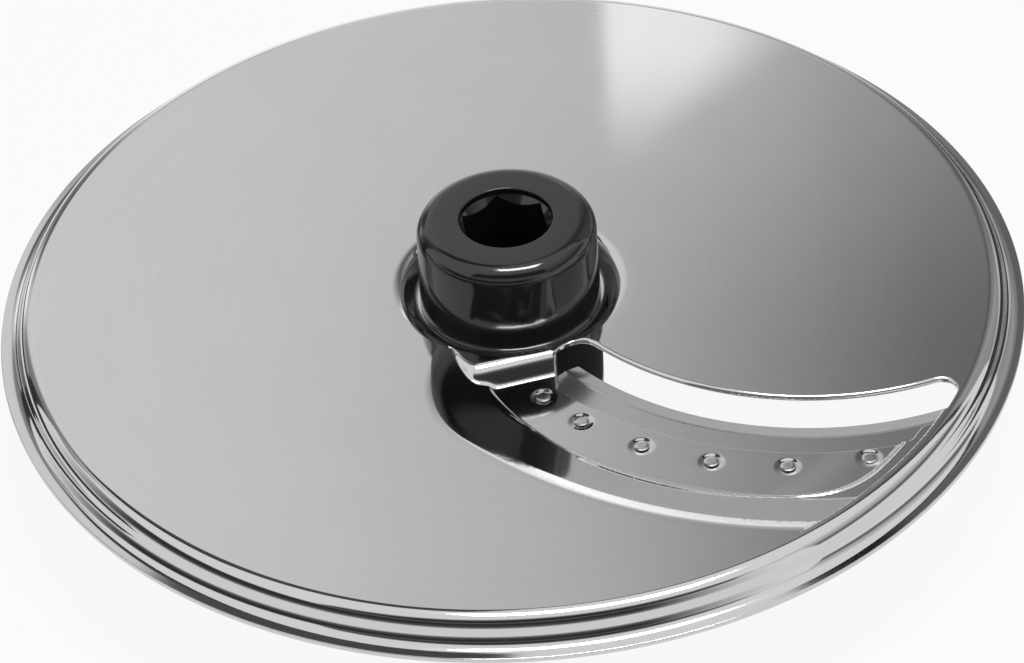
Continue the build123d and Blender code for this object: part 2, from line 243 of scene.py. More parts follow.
# Upright flags: their ends in plan, and the brightness up them
FRONT_RISE = (
    (0.12, 0.95), (0.24, 0.75), (0.42, 0.7), (0.5, 0.05), (0.54, 0.02), (1.0, 0.02), (1.25, 0.95),
)
LEFT_RISE = ((0.0, 0.03), (0.1, 0.03), (0.5, 0.1), (0.95, 0.95))
RIGHT_RISE = ((0.2, 0.95), (0.3, 0.08), (0.36, 0.1), (0.5, 0.5), (0.9, 0.95))
UPRIGHT_FLAGS = (
    ("front", ((-0.8, -0.75), (1.0, -0.75)), FRONT_RISE),
    ("left", ((-0.8, 0.35), (-0.8, 1.0)), LEFT_RISE),
    ("right", ((0.8, -0.75), (0.8, 0.25)), RIGHT_RISE),
)
# Low band round the disc's front, between two turns in degrees
RIM_BAND_RISE = ((0.024, 0.8), (0.032, 0.02), (0.06, 0.02), (0.067, 0.3))
RIM_BAND_RADIUS = 0.135
RIM_BAND_TURNS = (175, 316, 2)
# Flags on the floor: two opposite corners each. The one under the disc is painted shadow
LOW_FLAG_Z = 0.0004
LOW_FLAG_AND_PAINTED_SHADOW_LEVEL = 0.06
LOW_FLAGS = (
    # Painted shadow: a dark card on the floor under the disc, seen only in gloss, where the disc's shadow falls
    ("under", (0.017, -0.04), (0.036, 0.012)),
    ("right_low", (0.095, -0.01), (0.6, 0.26)),
    ("left_low", (-0.8, -0.06), (-0.15, 0.5)),
)

# Light and camera
ROOM_LIGHT = 0.35
LAMP_SIZE = (0.4, 0.2)
LAMP_WATTS = 5.0
LAMP_PLACE = (0.1, -0.05, 0.9)
CAMERA_TARGET = (0.0, 0.0, 0.02)
CAMERA_DISTANCE = 0.8
CAMERA_HEIGHT = 39.67  # degrees above the horizon
CAMERA_ROLL = -3.622  # degrees
FOCAL_PIXELS = 4695  # lens in pixels of the photograph
SHIFT_PIXELS = (0.78, -26.1)



def sizes(name):
    """One property group of the scene."""
    return getattr(bpy.context.scene, name)


# Shared geometry


def polar(centre, radius, angle):
    """Plan points on a circle."""
    angle = np.asarray(angle, float)
    return np.stack([centre[0] + radius * np.cos(angle), centre[1] + radius * np.sin(angle)], -1)


def full_turn(count):
    """Evenly spaced angles round a circle."""
    return np.linspace(0, 2 * math.pi, count, endpoint=False)


def arc(centre, radius, start, end, spacing):
    """Evenly spaced plan points along an arc, its end left out."""
    count = max(2, math.ceil(abs(end - start) * radius / spacing))
    return polar(centre, radius, np.linspace(start, end, count, endpoint=False))


def bearing(origin, target):
    """Plan angle of one point from another."""
    return math.atan2(target[1] - origin[1], target[0] - origin[0])


def distance(x, y, centre):
    """Plan distance of points from a centre."""
    return np.hypot(x - centre[0], y - centre[1])


def crossing(from_blade, blade, from_axis):
    """Plan point on the blade's side at given distances from the blade centre and from the axis."""
    apart = math.hypot(*blade)
    along = (from_axis**2 - from_blade**2 + apart**2) / (2 * apart)
    off = math.sqrt(from_axis**2 - along**2)
    unit = (blade[0] / apart, blade[1] / apart)
    return (along * unit[0] + off * unit[1], along * unit[1] - off * unit[0])


def left_of(run):
    """Unit normal on the left of a section's run."""
    return np.array([-run[1], run[0]]) / np.hypot(*run)


def bent_line(corners, radii, step=4.0):
    """Section line whose inner corners become arcs, as points and unit normals on its left."""
    corners = [np.array(c, float) for c in corners]
    points = [corners[0]]
    normals = [left_of(corners[1] - corners[0])]
    for before, here, after, radius in zip(corners, corners[1:], corners[2:], radii):
        arrive = left_of(here - before)
        leave = left_of(after - here)
        sweep = math.atan2(arrive[0] * leave[1] - arrive[1] * leave[0], arrive @ leave)
        bend = math.copysign(radius, sweep)
        centre = here + bend * (arrive + leave) / (1 + arrive @ leave)
        for part in np.linspace(0, 1, max(2, math.ceil(abs(math.degrees(sweep)) / step)) + 1):
            cosine, sine = math.cos(part * sweep), math.sin(part * sweep)
            normal = np.array([arrive[0] * cosine - arrive[1] * sine, arrive[0] * sine + arrive[1] * cosine])
            points.append(centre - bend * normal)
            normals.append(normal)
    points.append(corners[-1])
    normals.append(left_of(corners[-1] - corners[-2]))
    return np.array(points), np.array(normals)


def soft_min(a, b, reach):
    """Lower of two heights, rounded where they differ by less than `reach`."""
    overlap = np.maximum(reach - np.abs(a - b), 0)
    return np.minimum(a, b) - overlap**2 / (4 * reach)


def soft_max(a, b, reach):
    """Higher of two heights, rounded where they differ by less than `reach`."""
    return -soft_min(-a, -b, reach)


def inside_outline(points, outline):
    """Whether plan points lie inside a closed outline."""
    inside = np.zeros(len(points), bool)
    for (ax, ay), (bx, by) in zip(outline, np.roll(outline, -1, 0)):
        if ay != by:
            between = (points[:, 1] < ay) != (points[:, 1] < by)
            inside ^= between & (points[:, 0] < (bx - ax) * (points[:, 1] - ay) / (by - ay) + ax)
    return inside


def outward(outline):
    """Unit plan normals that point out of a closed outline."""
    run = np.roll(outline, -1, 0) - np.roll(outline, 1, 0)
    side = np.stack([run[:, 1], -run[:, 0]], 1) / np.linalg.norm(run, axis=1, keepdims=True)
    area = np.sum(outline[:, 0] * np.roll(outline[:, 1], -1) - np.roll(outline[:, 0], -1) * outline[:, 1])
    return side * math.copysign(1, area)


class Shell:
    """Points with their normals, and the faces between them."""

    def __init__(self):
        self.points = np.zeros((0, 3))
        self.normals = np.zeros((0, 3))
        self.faces = []

    def row(self, points, normals):
        """Adds a row of points and gives their numbers."""
        start = len(self.points)
        self.points = np.concatenate([self.points, points])
        self.normals = np.concatenate([self.normals, np.broadcast_to(normals, np.shape(points))])
        return np.arange(start, len(self.points))

    def strip(self, first, second, closed=True):
        """Four-sided faces between two rows."""
        faces = np.stack([first, np.roll(first, -1), np.roll(second, -1), second], 1)
        self.faces.append(faces if closed else faces[:-1])

    def strips(self, rows, closed=True):
        """Four-sided faces between each row and the next."""
        for first, second in zip(rows, rows[1:]):
            self.strip(first, second, closed)

    def fan(self, centre, row):
        """Three-sided faces between one point and a closed row."""
        self.faces.append(np.stack([np.full_like(row, centre), row, np.roll(row, -1)], 1))

    def build(self, name, material, crease=None):
        """Finished object whose faces agree with the normals, shaded by them or creased past an angle."""
        no_area = 1e-16
        polygons = []
        for faces in self.faces:
            corners = self.points[faces]
            across = np.cross(corners[:, 2] - corners[:, 0], corners[:, -1] - corners[:, 1])
            turned = np.sum(across * self.normals[faces].sum(1), 1) < 0
            faces = np.where(turned[:, None], faces[:, ::-1], faces)
            polygons += faces[np.linalg.norm(across, axis=1) > no_area].tolist()
        mesh = bpy.data.meshes.new(name)
        mesh.from_pydata(self.points.tolist(), [], polygons)
        mesh.shade_smooth()
        if crease is None:
            mesh.normals_split_custom_set_from_vertices(self.normals.tolist())
        else:
            mesh.set_sharp_from_angle(angle=crease)
        mesh.materials.append(material)
        piece = bpy.data.objects.new(name, mesh)
        bpy.context.scene.collection.objects.link(piece)
        return piece


def turned_rows(shell, section, normals, angles):
    """Rows of points from a section turned about the axis."""
    cosine, sine = np.cos(angles), np.sin(angles)
    rows = []
    for (radius, height), (out, up) in zip(section, normals):
        ring = np.stack([radius * cosine, radius * sine, np.full_like(angles, height)], 1)
        face = np.stack([out * cosine, out * sine, np.full_like(angles, up)], 1)
        rows.append(shell.row(ring, face))
    return rows


def place_piece(piece, node):
    """Makes a piece stand for its solid."""
    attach(piece, BODY)
    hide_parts(node)


# Pressed plate


class PlateForm:
    """Height of the plate's upper skin at any plan point, and the plan of its slot."""

    def __init__(self):
        p = sizes("disc_plate_sizes")
        q = sizes("pocket_sizes")
        b = sizes("blade_sizes")
        self.p, self.q, self.b = p, q, b
        self.top = p.lip_height + p.sheet + p.rim_rise
        self.seat = self.top - p.seat_depth
        self.lip = p.lip_height + p.sheet
        half = math.tan(p.rim_wall / 2)
        rim_low = p.diameter / 2 - p.lip_flat - p.rim_foot * half
        rim_high = rim_low - p.rim_rise / math.tan(p.rim_wall)
        self.flat = rim_high - p.rim_crown * half
        fall = (p.diameter / 2 - rim_low) * math.tan(p.lip_fall)
        edge = [(p.diameter / 2, self.lip - fall - p.sheet / 2)]
        lip_end = (p.diameter / 2, self.lip - fall)
        corners = [(self.flat, self.top), (rim_high, self.top), (rim_low, self.lip), lip_end]
        self.rim = bent_line(corners + edge, [p.rim_crown, p.rim_foot, p.arris])
        back = ((0, p.sheet), (p.sheet * half, p.sheet), (p.sheet * half, p.sheet), (0, p.sheet))
        corners = [(c[0] - b[0], c[1] - b[1]) for c, b in zip(corners, back)]
        line, normals = bent_line(corners + edge, [p.rim_crown - p.sheet, p.rim_foot + p.sheet, p.arris])
        self.rim_under = (line, -normals)
        seat_low = p.seat_floor / 2
        seat_high = seat_low + p.seat_depth / math.tan(p.seat_wall)
        self.seat_edge = seat_high + p.seat_crown * math.tan(p.seat_wall / 2)
        self.seat_line = bent_line(
            [(0, self.seat), (seat_low, self.seat), (seat_high, self.top), (self.flat, self.top)],
            [p.seat_foot, p.seat_crown],
            1.0,
        )[0]
        self.blade = (q.blade_x, q.blade_y)
        self.end = tuple(polar(self.blade, q.crescent - q.crescent_end, q.crescent_turn))
        self.platform_top = self.top - q.platform_depth
        self.rivets = polar((b.rivet_x, b.rivet_y), b.rivet_arc, np.radians(RIVET_TURNS))

    def crescent(self, x, y):
        """Crescent that slopes from the plate down to a level ledge."""
        q = self.q
        ray = (math.cos(q.crescent_turn), math.sin(q.crescent_turn))
        wide = ray[0] * (y - self.blade[1]) - ray[1] * (x - self.blade[0]) > 0
        from_blade = q.crescent - distance(x, y, self.blade)
        from_end = q.crescent_end - distance(x, y, self.end)
        inside = np.where(wide, from_blade, from_end)
        strip = self.top - inside * math.tan(q.border_slope)
        slope = strip - (inside - q.border) * (math.tan(q.crescent_slope) - math.tan(q.border_slope))
        slope = soft_min(strip, slope, 0.01 * MM)
        near_rim = np.clip((np.hypot(x, y) - self.flat) / q.ledge_reach + 2, 0, 1)
        ledge = self.platform_top + q.ledge_rise * near_rim**2 * (3 - 2 * near_rim)
        floor = soft_max(slope, ledge, q.ledge_bend * math.tan(q.crescent_slope) ** 2)
        share = np.clip(1 - (2 * self.beyond_platform(x, y) / q.bead_width - 1) ** 2, 0, 1)
        bead_fade = 4 * MM
        return floor + q.bead * share**2 * np.clip((x - q.bead_start) / bead_fade, 0, 1)

    def beyond_platform(self, x, y):
        """Distance outside the platform's rear and outer borders."""
        q = self.q
        rear = distance(x, y, (q.platform_x, q.platform_y)) - q.platform
        outer = np.hypot(x, y) - self.flat + q.platform_rim_gap
        return soft_max(rear, outer, 2 * q.platform_corner)

    def flank(self, x, y):
        """Front of the ridge, whose crest turns back towards the hub at its left end."""
        q = self.q
        nose = np.maximum(-x - q.nose, 0) ** 2 / q.nose_bend
        crest = -q.ridge + x * math.tan(q.ridge_turn) + nose
        return self.top + (y - crest) * q.platform_depth / q.ridge_run

    def platform(self, x, y):
        """Level platform with its rear and outer walls, and a round tip where it meets the ridge."""
        q = self.q
        wall = self.platform_top + self.beyond_platform(x, y) * math.tan(q.wall)
        wall = soft_max(wall, self.flank(x, y), q.platform_tip)
        return soft_max(wall, self.platform_top, q.wall_foot)

    def height(self, x, y, dished=True):
        """Height of the upper skin inside the rim."""
        q = self.q
        main = np.interp(np.hypot(x, y), self.seat_line[:, 0], self.seat_line[:, 1])
        floor = soft_min(self.crescent(x, y), self.platform(x, y), q.platform_brow)
        pressed = soft_min(main, floor, q.fold * math.tan(q.border_slope) ** 2 / 2)
        rim = self.top + (np.hypot(x, y) - self.flat + q.ledge_rim_gap) * math.tan(q.rim_wall)
        for wall, brow in ((rim, q.rim_brow), (self.flank(x, y), q.ridge_brow)):
            crest = soft_min(main, wall, brow)
            shallow = main - np.minimum(pressed, crest)
            pressed = soft_max(pressed, crest, np.clip(shallow, 0.01 * MM, q.floor_bend))
        pocket = (y < -0.8 * q.ridge) & (distance(x, y, self.blade) > q.notch - self.p.sheet)
        pressed = np.minimum(np.where(pocket, pressed, main), main)
        if dished:
            b = self.b
            for place in self.rivets:
                near = np.clip((b.dish - distance(x, y, place)) / (b.dish - b.button / 2), 0, 1)
                pressed = pressed - b.dish_depth * near**2 * (3 - 2 * near)
        return pressed

    def normal(self, x, y, dished=True):
        """Unit normal of the upper skin."""
        step = 0.02 * MM
        east = self.height(x + step, y, dished) - self.height(x - step, y, dished)
        north = self.height(x, y + step, dished) - self.height(x, y - step, dished)
        normal = np.stack([-east, -north, np.full_like(x, 2 * step)], -1)
        return normal / np.linalg.norm(normal, axis=-1, keepdims=True)

    def slot(self):
        """Plan outline of the slot, its corners eased."""
        q = self.q
        blade, axis = self.blade, (0.0, 0.0)
        fine = 0.15 * MM
        across = q.slot_inner + q.slot_inner_round
        away = math.sqrt((q.lead + q.slot_inner_round) ** 2 - (blade[0] - across) ** 2)
        inner = (across, blade[1] - away)
        end = self.flat - q.slot_rim_gap
        tongue = self.flat - q.notch_width
        outer = crossing(q.lead + q.slot_outer_round, blade, end - q.slot_outer_round)
        tongue_end = crossing(q.notch, blade, end)
        tongue_side = crossing(q.notch, blade, tongue)
        tongue_foot = crossing(q.trail, blade, tongue)
        trail_end = (q.slot_inner, blade[1] - math.sqrt(q.trail**2 - (blade[0] - q.slot_inner) ** 2))
        lead_in, lead_out = bearing(blade, inner), bearing(blade, outer)
        rows = [
            arc(blade, q.lead, lead_in, lead_out, fine),
            arc(outer, q.slot_outer_round, lead_out + math.pi, bearing(axis, outer), fine),
            arc(axis, end, bearing(axis, outer), bearing(axis, tongue_end), fine),
            arc(blade, q.notch, bearing(blade, tongue_end), bearing(blade, tongue_side), fine),
            arc(axis, tongue, bearing(axis, tongue_side), bearing(axis, tongue_foot), fine),
            arc(blade, q.trail, bearing(blade, tongue_foot), bearing(blade, trail_end), fine),
            np.linspace(trail_end, (q.slot_inner, inner[1]), 50, endpoint=False),
            arc(inner, q.slot_inner_round, math.pi, lead_in + math.pi, fine),
        ]
        outline = np.concatenate(rows)
        softened = np.mean([np.roll(outline, shift, 0) for shift in range(-4, 5)], 0)
        return softened[::3]

    def keyed_hole(self):
        """Plan outline of the keyed hole."""
        outline = polar((0, 0), self.p.key_diameter / 2, full_turn(120))
        half = self.p.key_flats / 2
        return np.stack([outline[:, 0], np.clip(outline[:, 1], -half, half)], 1)


def pocket_points(form):
    """Plan points over the blade pocket, closer together where its skin bends more."""
    q = form.q
    fine = 0.25 * MM
    column = np.arange(form.end[0] - 1.2 * q.crescent_end, form.flat, fine)
    line = np.arange(-form.flat, -0.9 * q.ridge, fine)
    x, y = np.meshgrid(column, line)
    bend = np.zeros_like(x)
    middle = form.height(x, y)
    for dx, dy in ((fine, 0), (0, fine)):
        bend += np.abs(form.height(x + dx, y + dy) + form.height(x - dx, y - dy) - 2 * middle) / fine
    rank_x, rank_y = np.meshgrid(np.arange(len(column)), np.arange(len(line)))
    sharp, mild = 0.012, 0.004
    kept = bend > sharp
    kept |= (bend > mild) & (rank_x % 2 == 0) & (rank_y % 2 == 0)
    kept |= (middle < form.top - 0.001 * MM) & (rank_x % 4 == 0) & (rank_y % 4 == 0)
    return np.stack([x[kept], y[kept]], 1)


def plate_plan(form, ring, slot, hole):
    """Plan points inside the rim, with the rows of the three edges first, and their triangles."""
    seat_count, flat_count, flat_rings = 240, 72, 10
    radii = [r for r in form.seat_line[1:-1, 0] if r > form.p.key_diameter / 2]
    radii = radii[::2] + [radii[0] - 2 * MM, radii[0] - 4 * MM]
    seat = [polar((0, 0), radius, full_turn(seat_count)) for radius in radii]
    rings = np.linspace(form.seat_edge + 2 * MM, form.flat, flat_rings)[:-1]
    flat = np.concatenate([polar((0, 0), radius, full_turn(flat_count)) for radius in rings])
    pocket = pocket_points(form)
    level = form.height(*flat.T) > form.top - 0.001 * MM
    free = np.concatenate(seat + [flat[level], pocket])
    outside = inside_outline(free, slot + outward(slot) * 0.15 * MM)
    outside |= np.hypot(*free.T) > form.flat - 0.4 * MM
    outside |= inside_outline(free, hole + outward(hole) * 0.5 * MM)
    seat_zone = np.hypot(*free.T) < form.seat_edge + 0.2 * MM
    seat_zone[: len(radii) * seat_count] = False
    free = free[~outside & ~seat_zone]
    loops = [ring, slot, hole]
    edges = []
    start = 0
    for loop in loops:
        numbers = np.arange(start, start + len(loop))
        edges += np.stack([numbers, np.roll(numbers, -1)], 1).tolist()
        start += len(loop)
    points = np.concatenate(loops + [free])
    result = delaunay_2d_cdt([Vector(p) for p in points.tolist()], edges, [], 0, 1e-9)
    source = np.array([ids[0] for ids in result[3]])
    triangles = source[np.array(result[2])]
    centres = points[triangles].mean(1)
    triangles = triangles[~inside_outline(centres, slot) & ~inside_outline(centres, hole)]
    return points, triangles


def cut_wall(shell, upper, lower, outline, side, arris):
    """Cut edge of the sheet between the boundary rows of its two skins, its lower arris the sharper one."""
    rows = [upper]
    steps = np.radians([18, 36, 54, 72, 90])
    lower_arris = np.minimum(arris, 0.15 * MM)
    for boundary, angles, rise in ((upper, steps, arris), (lower, steps[::-1], lower_arris)):
        skin = shell.normals[boundary]
        for angle in angles:
            sine, cosine = math.sin(angle), math.cos(angle)
            points = shell.points[boundary].copy()
            points[:, :2] = outline + side * arris * (1 - sine)
            points[:, 2] -= rise[:, 0] * (1 - cosine) * np.sign(skin[:, 2])
            normals = skin * cosine
            normals[:, :2] -= side * sine
            rows.append(shell.row(points, normals))
    shell.strips(rows + [lower])


def press_plate(material):
    """Plate with its two skins, its rolled rim and its cut edges."""
    form = PlateForm()
    p = form.p
    angles = full_turn(360)
    slot, hole = form.slot(), form.keyed_hole()
    slot_side, hole_side = outward(slot), outward(hole)
    ring = polar((0, 0), form.flat, angles)
    rolls = []
    lead_end, lead_fade = form.q.lead + 3 * MM, 2 * MM
    for edge in (slot, hole):
        lead = np.clip((lead_end - distance(*edge.T, form.blade)) / lead_fade, 0, 1)
        roll = p.roll + (p.lead_roll - p.roll) * lead
        rolls.append(np.minimum(roll, (form.flat - np.hypot(*edge.T)) / 2)[:, None])
    plan, triangles = plate_plan(form, ring, slot + slot_side * rolls[0], hole + hole_side * rolls[1])
    x, y = plan.T
    shell = Shell()
    upper = shell.row(np.stack([x, y, form.height(x, y)], 1), form.normal(x, y))
    plain = form.normal(x, y, False)
    under = form.height(x, y, False) - p.sheet / plain[:, 2]
    lower = shell.row(np.stack([x, y, under], 1), -plain)
    shell.faces += [triangles, triangles + len(plan)]
    start = len(ring)
    for outline, side, roll in zip((slot, hole), (slot_side, hole_side), rolls):
        span = slice(start, start + len(outline))
        cut_wall(shell, upper[span], lower[span], outline, side, roll)
        start += len(outline)
    rim_rows = turned_rows(shell, *form.rim, angles)
    under_rows = turned_rows(shell, *form.rim_under, angles)
    shell.strips([upper[: len(ring)]] + rim_rows[1:])
    shell.strips([lower[: len(ring)]] + under_rows[1:-1] + rim_rows[-1:])
    piece = shell.build("disc_plate_steel", material)
    place_piece(piece, "disc_plate")


# Blade, rivets and hub


def grind_blade(material):
    """Curved blade under the platform, ground to its edge on the upper side."""
    form = PlateForm()
    b, centre = form.b, form.blade
    top = form.platform_top - form.p.sheet
    under = top - b.thickness
    slant = (math.cos(b.tip_turn), math.sin(b.tip_turn))
    tip = (b.tip_x - centre[0], b.tip_y - centre[1])
    along = tip[0] * slant[0] + tip[1] * slant[1]
    radii = np.concatenate([
        b.edge + b.bevel * np.linspace(0, 1, 4),
        np.linspace(b.edge + b.bevel + b.burr_width, b.edge + b.width, 8),
    ])
    shell = Shell()
    skins = []
    for side in (1, -1):
        rows = []
        for radius in radii:
            back = -along - math.sqrt(along**2 - tip[0] ** 2 - tip[1] ** 2 + radius**2)
            start = math.atan2(tip[1] + back * slant[1], tip[0] + back * slant[0])
            end = bearing(centre, crossing(radius, centre, form.flat - b.rim_gap))
            angles = np.linspace(start, end, 140)
            rise = under + b.land + (b.thickness + b.burr - b.land) * min(1, (radius - b.edge) / b.bevel)
            if radius > b.edge + b.bevel + b.burr_width / 2:
                rise = top
            plan = polar(centre, radius, angles)
            points = np.column_stack([plan, np.full(len(plan), rise if side > 0 else under)])
            lean = 0.5 * ((radius == radii[-1]) * 1 - (radius == radii[0]) * 1)
            out = lean * np.stack([np.cos(angles), np.sin(angles)], 1)
            normals = np.column_stack([out, np.full(len(angles), side)])
            normals[0, :2] += 0.5 * np.array([math.sin(start), -math.cos(start)])
            normals[-1, :2] -= 0.5 * np.array([math.sin(end), -math.cos(end)])
            rows.append(shell.row(points, normals))
        shell.strips(rows, closed=False)
        skins.append(np.array(rows))
    above, below = skins
    for place in (0, -1):
        shell.strip(above[place], below[place], closed=False)
        shell.strip(above[:, place], below[:, place], closed=False)
    piece = shell.build("slicing_blade_steel", material, crease=math.radians(3))
    place_piece(piece, "slicing_blade")


def add_node(tree, kind, sockets=None, **settings):
    """Adds a node with its settings, and fills or links its inputs."""
    node = tree.nodes.new(kind)
    for key, value in settings.items():
        setattr(node, key, value)
    for key, value in (sockets or {}).items():
        if isinstance(value, bpy.types.NodeSocket):
            tree.links.new(value, node.inputs[key])
        else:
            node.inputs[key].default_value = value
    return node


def rivet_tree(material):
    """Geometry nodes that set one rivet on each point: domed button, shank and countersunk tail."""
    tree = bpy.data.node_groups.new("Rivet row", "GeometryNodeTree")
    tree.interface.new_socket("Geometry", in_out="INPUT", socket_type="NodeSocketGeometry")
    lengths = ("Button Radius", "Button Edge", "Button Crown", "Shank Radius", "Shank Length", "Tail Radius")
    for name in lengths:
        tree.interface.new_socket(name, in_out="INPUT", socket_type="NodeSocketFloat").subtype = "DISTANCE"
    tree.interface.new_socket("Geometry", in_out="OUTPUT", socket_type="NodeSocketGeometry")
    given = add_node(tree, "NodeGroupInput").outputs
    around = 48
    crown_power = 6.0
    button = add_node(tree, "GeometryNodeMeshCylinder", {
        "Vertices": around, "Side Segments": 1, "Fill Segments": 10,
        "Radius": given["Button Radius"], "Depth": given["Button Edge"],
    }, fill_type="TRIANGLE_FAN")
    place = add_node(tree, "GeometryNodeInputPosition")
    split = add_node(tree, "ShaderNodeSeparateXYZ", {0: place.outputs[0]})
    flat = add_node(tree, "ShaderNodeVectorMath", {0: place.outputs[0], 1: (1, 1, 0)}, operation="MULTIPLY")
    reach = add_node(tree, "ShaderNodeVectorMath", {0: flat.outputs[0]}, operation="LENGTH")
    share = add_node(
        tree, "ShaderNodeMath", {0: reach.outputs["Value"], 1: given["Button Radius"]}, operation="DIVIDE"
    )
    power = add_node(tree, "ShaderNodeMath", {0: share.outputs[0], 1: crown_power}, operation="POWER")
    fall = add_node(tree, "ShaderNodeMath", {0: 1.0, 1: power.outputs[0]}, operation="SUBTRACT")
    dome = add_node(
        tree, "ShaderNodeMath", {0: fall.outputs[0], 1: given["Button Crown"]}, operation="MULTIPLY"
    )
    upper = add_node(tree, "ShaderNodeMath", {0: split.outputs[2], 1: 0.0}, operation="GREATER_THAN")
    lift = add_node(tree, "ShaderNodeMath", {0: dome.outputs[0], 1: upper.outputs[0]}, operation="MULTIPLY")
    half = add_node(tree, "ShaderNodeMath", {
        0: given["Button Edge"], 1: 0.5, 2: lift.outputs[0],
    }, operation="MULTIPLY_ADD")
    offset = add_node(tree, "ShaderNodeCombineXYZ", {2: half.outputs[0]})
    domed = add_node(tree, "GeometryNodeSetPosition", {
        "Geometry": button.outputs["Mesh"], "Offset": offset.outputs[0],
    })
    tail_height = add_node(
        tree, "ShaderNodeMath", {0: given["Tail Radius"], 1: given["Shank Radius"]}, operation="SUBTRACT"
    )
    shank = add_node(tree, "GeometryNodeMeshCylinder", {
        "Vertices": around, "Radius": given["Shank Radius"], "Depth": given["Shank Length"],
    })
    sunk = add_node(tree, "ShaderNodeMath", {0: given["Shank Length"], 1: -0.5}, operation="MULTIPLY")
    shank_place = add_node(tree, "ShaderNodeCombineXYZ", {2: sunk.outputs[0]})
    shank = add_node(tree, "GeometryNodeTransform", {
        "Geometry": shank.outputs["Mesh"], "Translation": shank_place.outputs[0],
    })
    tail = add_node(tree, "GeometryNodeMeshCone", {
        "Vertices": around, "Radius Top": given["Shank Radius"], "Radius Bottom": given["Tail Radius"],
        "Depth": tail_height.outputs[0],
    })
    bottom = add_node(tree, "ShaderNodeMath", {0: given["Shank Length"], 1: -1.0}, operation="MULTIPLY")
    tail_place = add_node(tree, "ShaderNodeCombineXYZ", {2: bottom.outputs[0]})
    tail = add_node(tree, "GeometryNodeTransform", {
        "Geometry": tail.outputs["Mesh"], "Translation": tail_place.outputs[0],
    })
    rivet = add_node(tree, "GeometryNodeJoinGeometry")
    for part in (domed, shank, tail):
        tree.links.new(part.outputs[0], rivet.inputs[0])
    row = add_node(tree, "GeometryNodeInstanceOnPoints", {
        "Points": given["Geometry"], "Instance": rivet.outputs[0],
    })
    solid = add_node(tree, "GeometryNodeRealizeInstances", {"Geometry": row.outputs[0]})
    finished = add_node(tree, "GeometryNodeSetMaterial", {"Geometry": solid.outputs[0], "Material": material})
    add_node(tree, "NodeGroupOutput", {0: finished.outputs[0]})
    return tree


def set_rivets(material):
    """Row of rivets through the platform and the blade."""
    form = PlateForm()
    b = form.b
    floor = form.platform_top - b.dish_depth
    points = np.column_stack([form.rivets, np.full(len(form.rivets), floor)])
    mesh = bpy.data.meshes.new("rivet_places")
    mesh.from_pydata(points.tolist(), [], [])
    row = bpy.data.objects.new("rivet_places", mesh)
    bpy.context.scene.collection.objects.link(row)
    tree = rivet_tree(material)
    shank = floor - (form.platform_top - form.p.sheet - b.thickness)
    given = {
        "Button Radius": b.button / 2,
        "Button Edge": b.button_edge,
        "Button Crown": b.button_height - b.button_edge,
        "Shank Radius": b.shank / 2,
        "Shank Length": shank,
        "Tail Radius": b.sink / 2,
    }
    modifier = row.modifiers.new("Rivet row", "NODES")
    modifier.node_group = tree
    for item in tree.interface.items_tree:
        if item.in_out == "INPUT" and item.name in given:
            modifier[item.identifier] = given[item.name]
    bpy.context.view_layer.update()
    evaluated = row.evaluated_get(bpy.context.evaluated_depsgraph_get())
    finished = bpy.data.meshes.new_from_object(evaluated)
    bpy.data.objects.remove(row)
    finished.name = "blade_rivets_steel"
    finished.shade_smooth()
    finished.set_sharp_from_angle(angle=math.radians(40))
    piece = bpy.data.objects.new("blade_rivets_steel", finished)
    bpy.context.scene.collection.objects.link(piece)
    if len(finished.polygons) == 0:
        raise RuntimeError("The rivet row came out empty")
    place_piece(piece, "blade_rivets")


def mould_hub(material):
    """Hub with its boss under the plate and its six-sided socket."""
    form = PlateForm()
    h = sizes("hub_sizes")
    under = form.seat - form.p.sheet
    mouth = h.flats / 2 + h.lead_in
    core = 3 * MM
    soft = 0.25 * MM
    section, normals = bent_line(
        [
            (core, 0),
            (h.boss / 2, 0),
            (h.boss / 2, under),
            (h.neck / 2, under),
            (h.neck / 2, form.seat),
            (h.diameter / 2, form.seat),
            (h.top_diameter / 2, h.height),
            (mouth, h.height),
            (mouth, h.height - h.mouth_depth),
        ],
        [h.boss_round, soft, soft, soft, soft, h.top_round, h.mouth_round],
    )
    offset = np.radians(np.linspace(-30, 30, 24, endpoint=False))
    angles = np.concatenate([h.socket_turn + math.radians(60 * side) + offset for side in range(6)])
    across = np.tile(h.flats / 2 / np.cos(offset), 6)
    shell = Shell()
    rows = turned_rows(shell, section, -normals, angles)
    plan = np.stack([across * np.cos(angles), across * np.sin(angles)], 1)
    inward = np.column_stack([-np.cos(angles), -np.sin(angles), np.full(len(angles), 0.3)])
    depths = [h.mouth_depth + (mouth - across) * h.lead_depth / h.lead_in, h.depth / 2, h.depth]
    for depth in depths:
        rows.append(shell.row(np.column_stack([plan, np.broadcast_to(h.height - depth, len(plan))]), inward))
    shell.strips(rows)
    foot = shell.row([(0, 0, 0)], (0, 0, -1))
    bottom = shell.row([(0, 0, h.height - h.depth)], (0, 0, 1))
    shell.fan(foot[0], rows[0])
    shell.fan(bottom[0], rows[-1])
    piece = shell.build("drive_hub_plastic", material, crease=math.radians(32))
    place_piece(piece, "drive_hub")


# Finishes


def linear(code):
    """Linear colour of an sRGB hex code."""
    channels = [int(code[i : i + 2], 16) / 255 for i in (1, 3, 5)]
    return [c / 12.92 if c <= 0.04045 else ((c + 0.055) / 1.055) ** 2.4 for c in channels] + [1.0]


def new_finish(name):
    """Empty material with its node tree."""
    material = bpy.data.materials.new(name)
    material.use_nodes = True
    material.node_tree.nodes.clear()
    return material, material.node_tree


